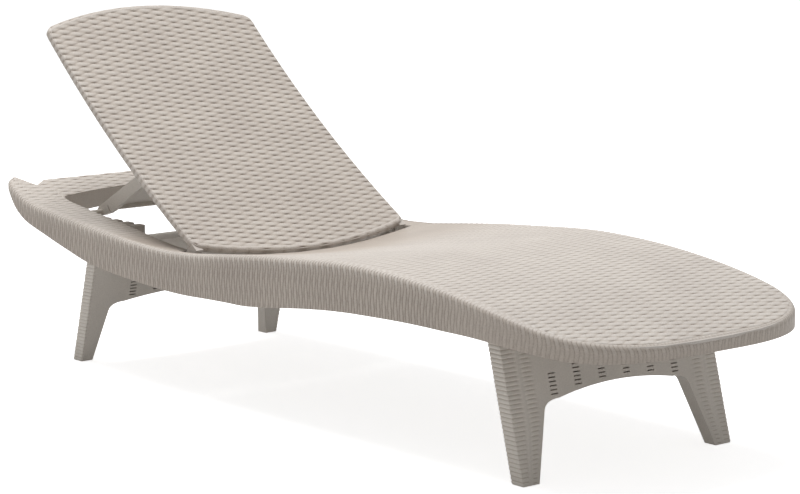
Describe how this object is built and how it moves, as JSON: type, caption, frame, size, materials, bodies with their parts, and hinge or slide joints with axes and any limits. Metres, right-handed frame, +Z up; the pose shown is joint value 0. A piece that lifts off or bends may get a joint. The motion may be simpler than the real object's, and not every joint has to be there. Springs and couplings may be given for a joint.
{
  "type": "sun lounger",
  "caption": "Moulded resin sun lounger with a curved woven-look deck on two arched leg frames and a hinged backrest held up by a notched prop.",
  "frame": {"origin": "on the floor under the middle of the deck's length and width", "axes": "+X towards the foot end, +Y to the left of a person lying on their back with their head at the backrest, +Z up"},
  "size_m": [1.955, 0.688, 0.7938],
  "materials": {
    "resin": "woven-look moulded surface, satin",
    "resin_frame": "ribbed moulded surface, satin",
    "nylon": "smooth",
    "steel": "zinc plated"
  },
  "bodies": {
    "base": {"frame_shell": "resin", "leg_frame_foot": "resin_frame", "leg_frame_head": "resin_frame", "rack_right": "nylon", "rack_left": "nylon", "rack_screw_right_1": "steel", "rack_screw_right_2": "steel", "rack_screw_left_1": "steel", "rack_screw_left_2": "steel", "leg_screw_foot_1": "steel", "leg_screw_foot_2": "steel", "leg_screw_foot_3": "steel", "leg_screw_foot_4": "steel", "leg_screw_head_1": "steel", "leg_screw_head_2": "steel", "leg_screw_head_3": "steel", "leg_screw_head_4": "steel"},
    "backrest": {"backrest_panel": "resin", "hinge_pin_right": "nylon", "hinge_pin_left": "nylon"},
    "prop": {"backrest_prop": "resin_frame", "prop_pin_right": "steel", "prop_pin_left": "steel", "prop_clip_right": "steel", "prop_clip_left": "steel"}
  },
  "joints": [
    {"name": "backrest_hinge", "type": "hinge", "parent": "base", "child": "backrest", "pos_m": [-0.2855, 0, 0.30405], "axis": [0, 1, 0], "range_deg": [-30, 25]},
    {"name": "prop_pivot", "type": "hinge", "parent": "backrest", "child": "prop", "pos_m": [-0.53053, 0, 0.46065], "axis": [0, 1, 0], "range_deg": [-54, 65]}
  ],
  "couplings": [
    {"joint": "prop_pivot", "follows": "backrest_hinge", "ratio": -2.15}
  ]
}
